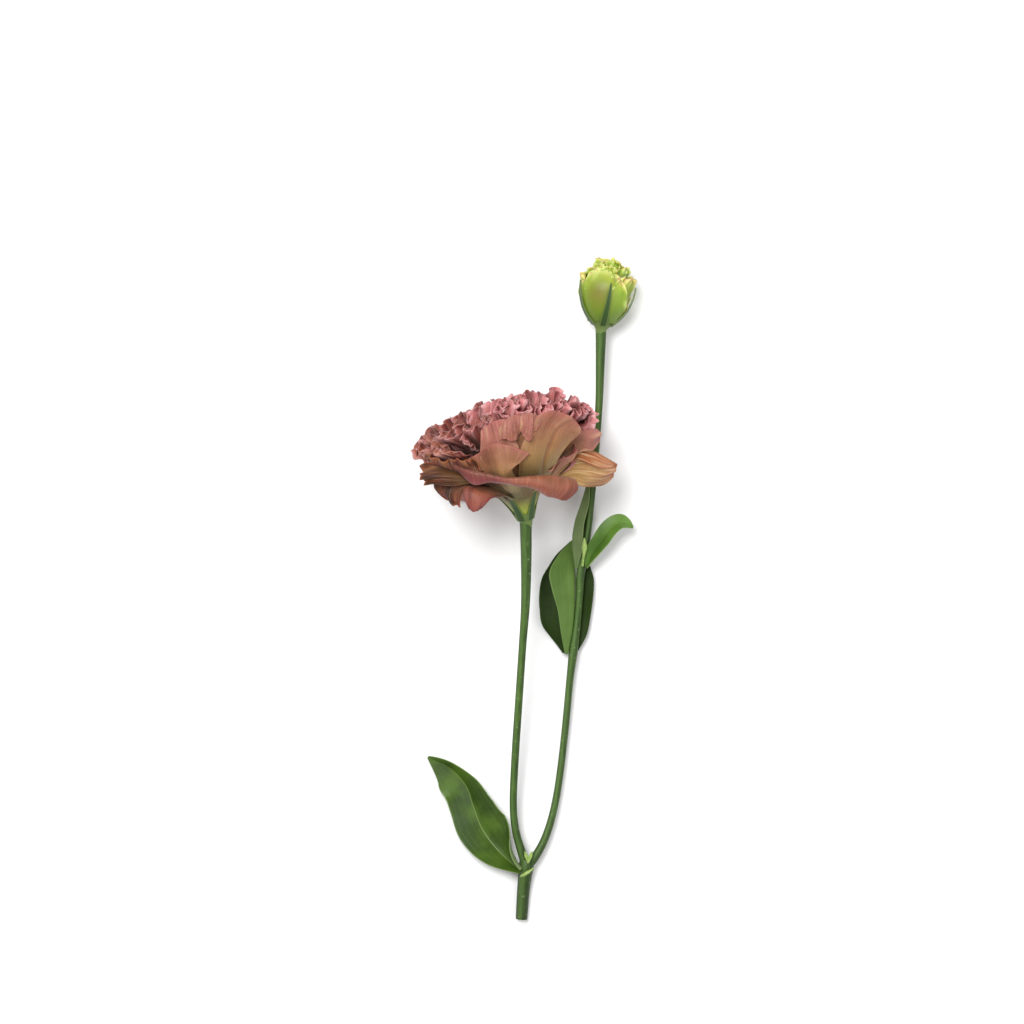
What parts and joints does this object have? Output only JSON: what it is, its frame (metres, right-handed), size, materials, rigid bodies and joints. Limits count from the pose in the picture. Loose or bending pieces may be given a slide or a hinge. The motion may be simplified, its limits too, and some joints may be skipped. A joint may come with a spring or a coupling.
{
  "type": "lisianthus flower",
  "caption": "Cut lisianthus stem lying flat, forked into a double dusty-rose bloom with ruffled petals and an opening green bud, with clasping leaves.",
  "frame": {"origin": "on the surface the flower lies on, under the centre of its bounding box", "axes": "+Y from the cut end to the flowers, +X to the right seen from above with +Y up, +Z up from the surface"},
  "size_m": [0.0924, 0.2668, 0.0722],
  "materials": {
    "stem": "waxy green stem, satin",
    "leaf": "waxy green leaf, satin",
    "leaf_underside": "grey-green leaf underside, matt",
    "sepal": "green sepal, satin",
    "petal_rose": "soft dusty-rose petal with tan and rust shading, matt",
    "bud_green": "soft lime-green petal, matt",
    "pale_green": "pale yellow-green, matt"
  },
  "bodies": {
    "root": {"stem": "stem", "leaf_fork": "leaf", "leaf_middle_left": "leaf", "leaf_middle_right": "leaf", "leaf_upper_left": "leaf_underside", "leaf_upper_right": "leaf", "side_bud": "pale_green", "fork_scales": "pale_green", "bloom_calyx": "sepal", "bloom_petals": "petal_rose", "bud_calyx": "sepal", "bud_petals": "bud_green"}
  },
  "joints": []
}
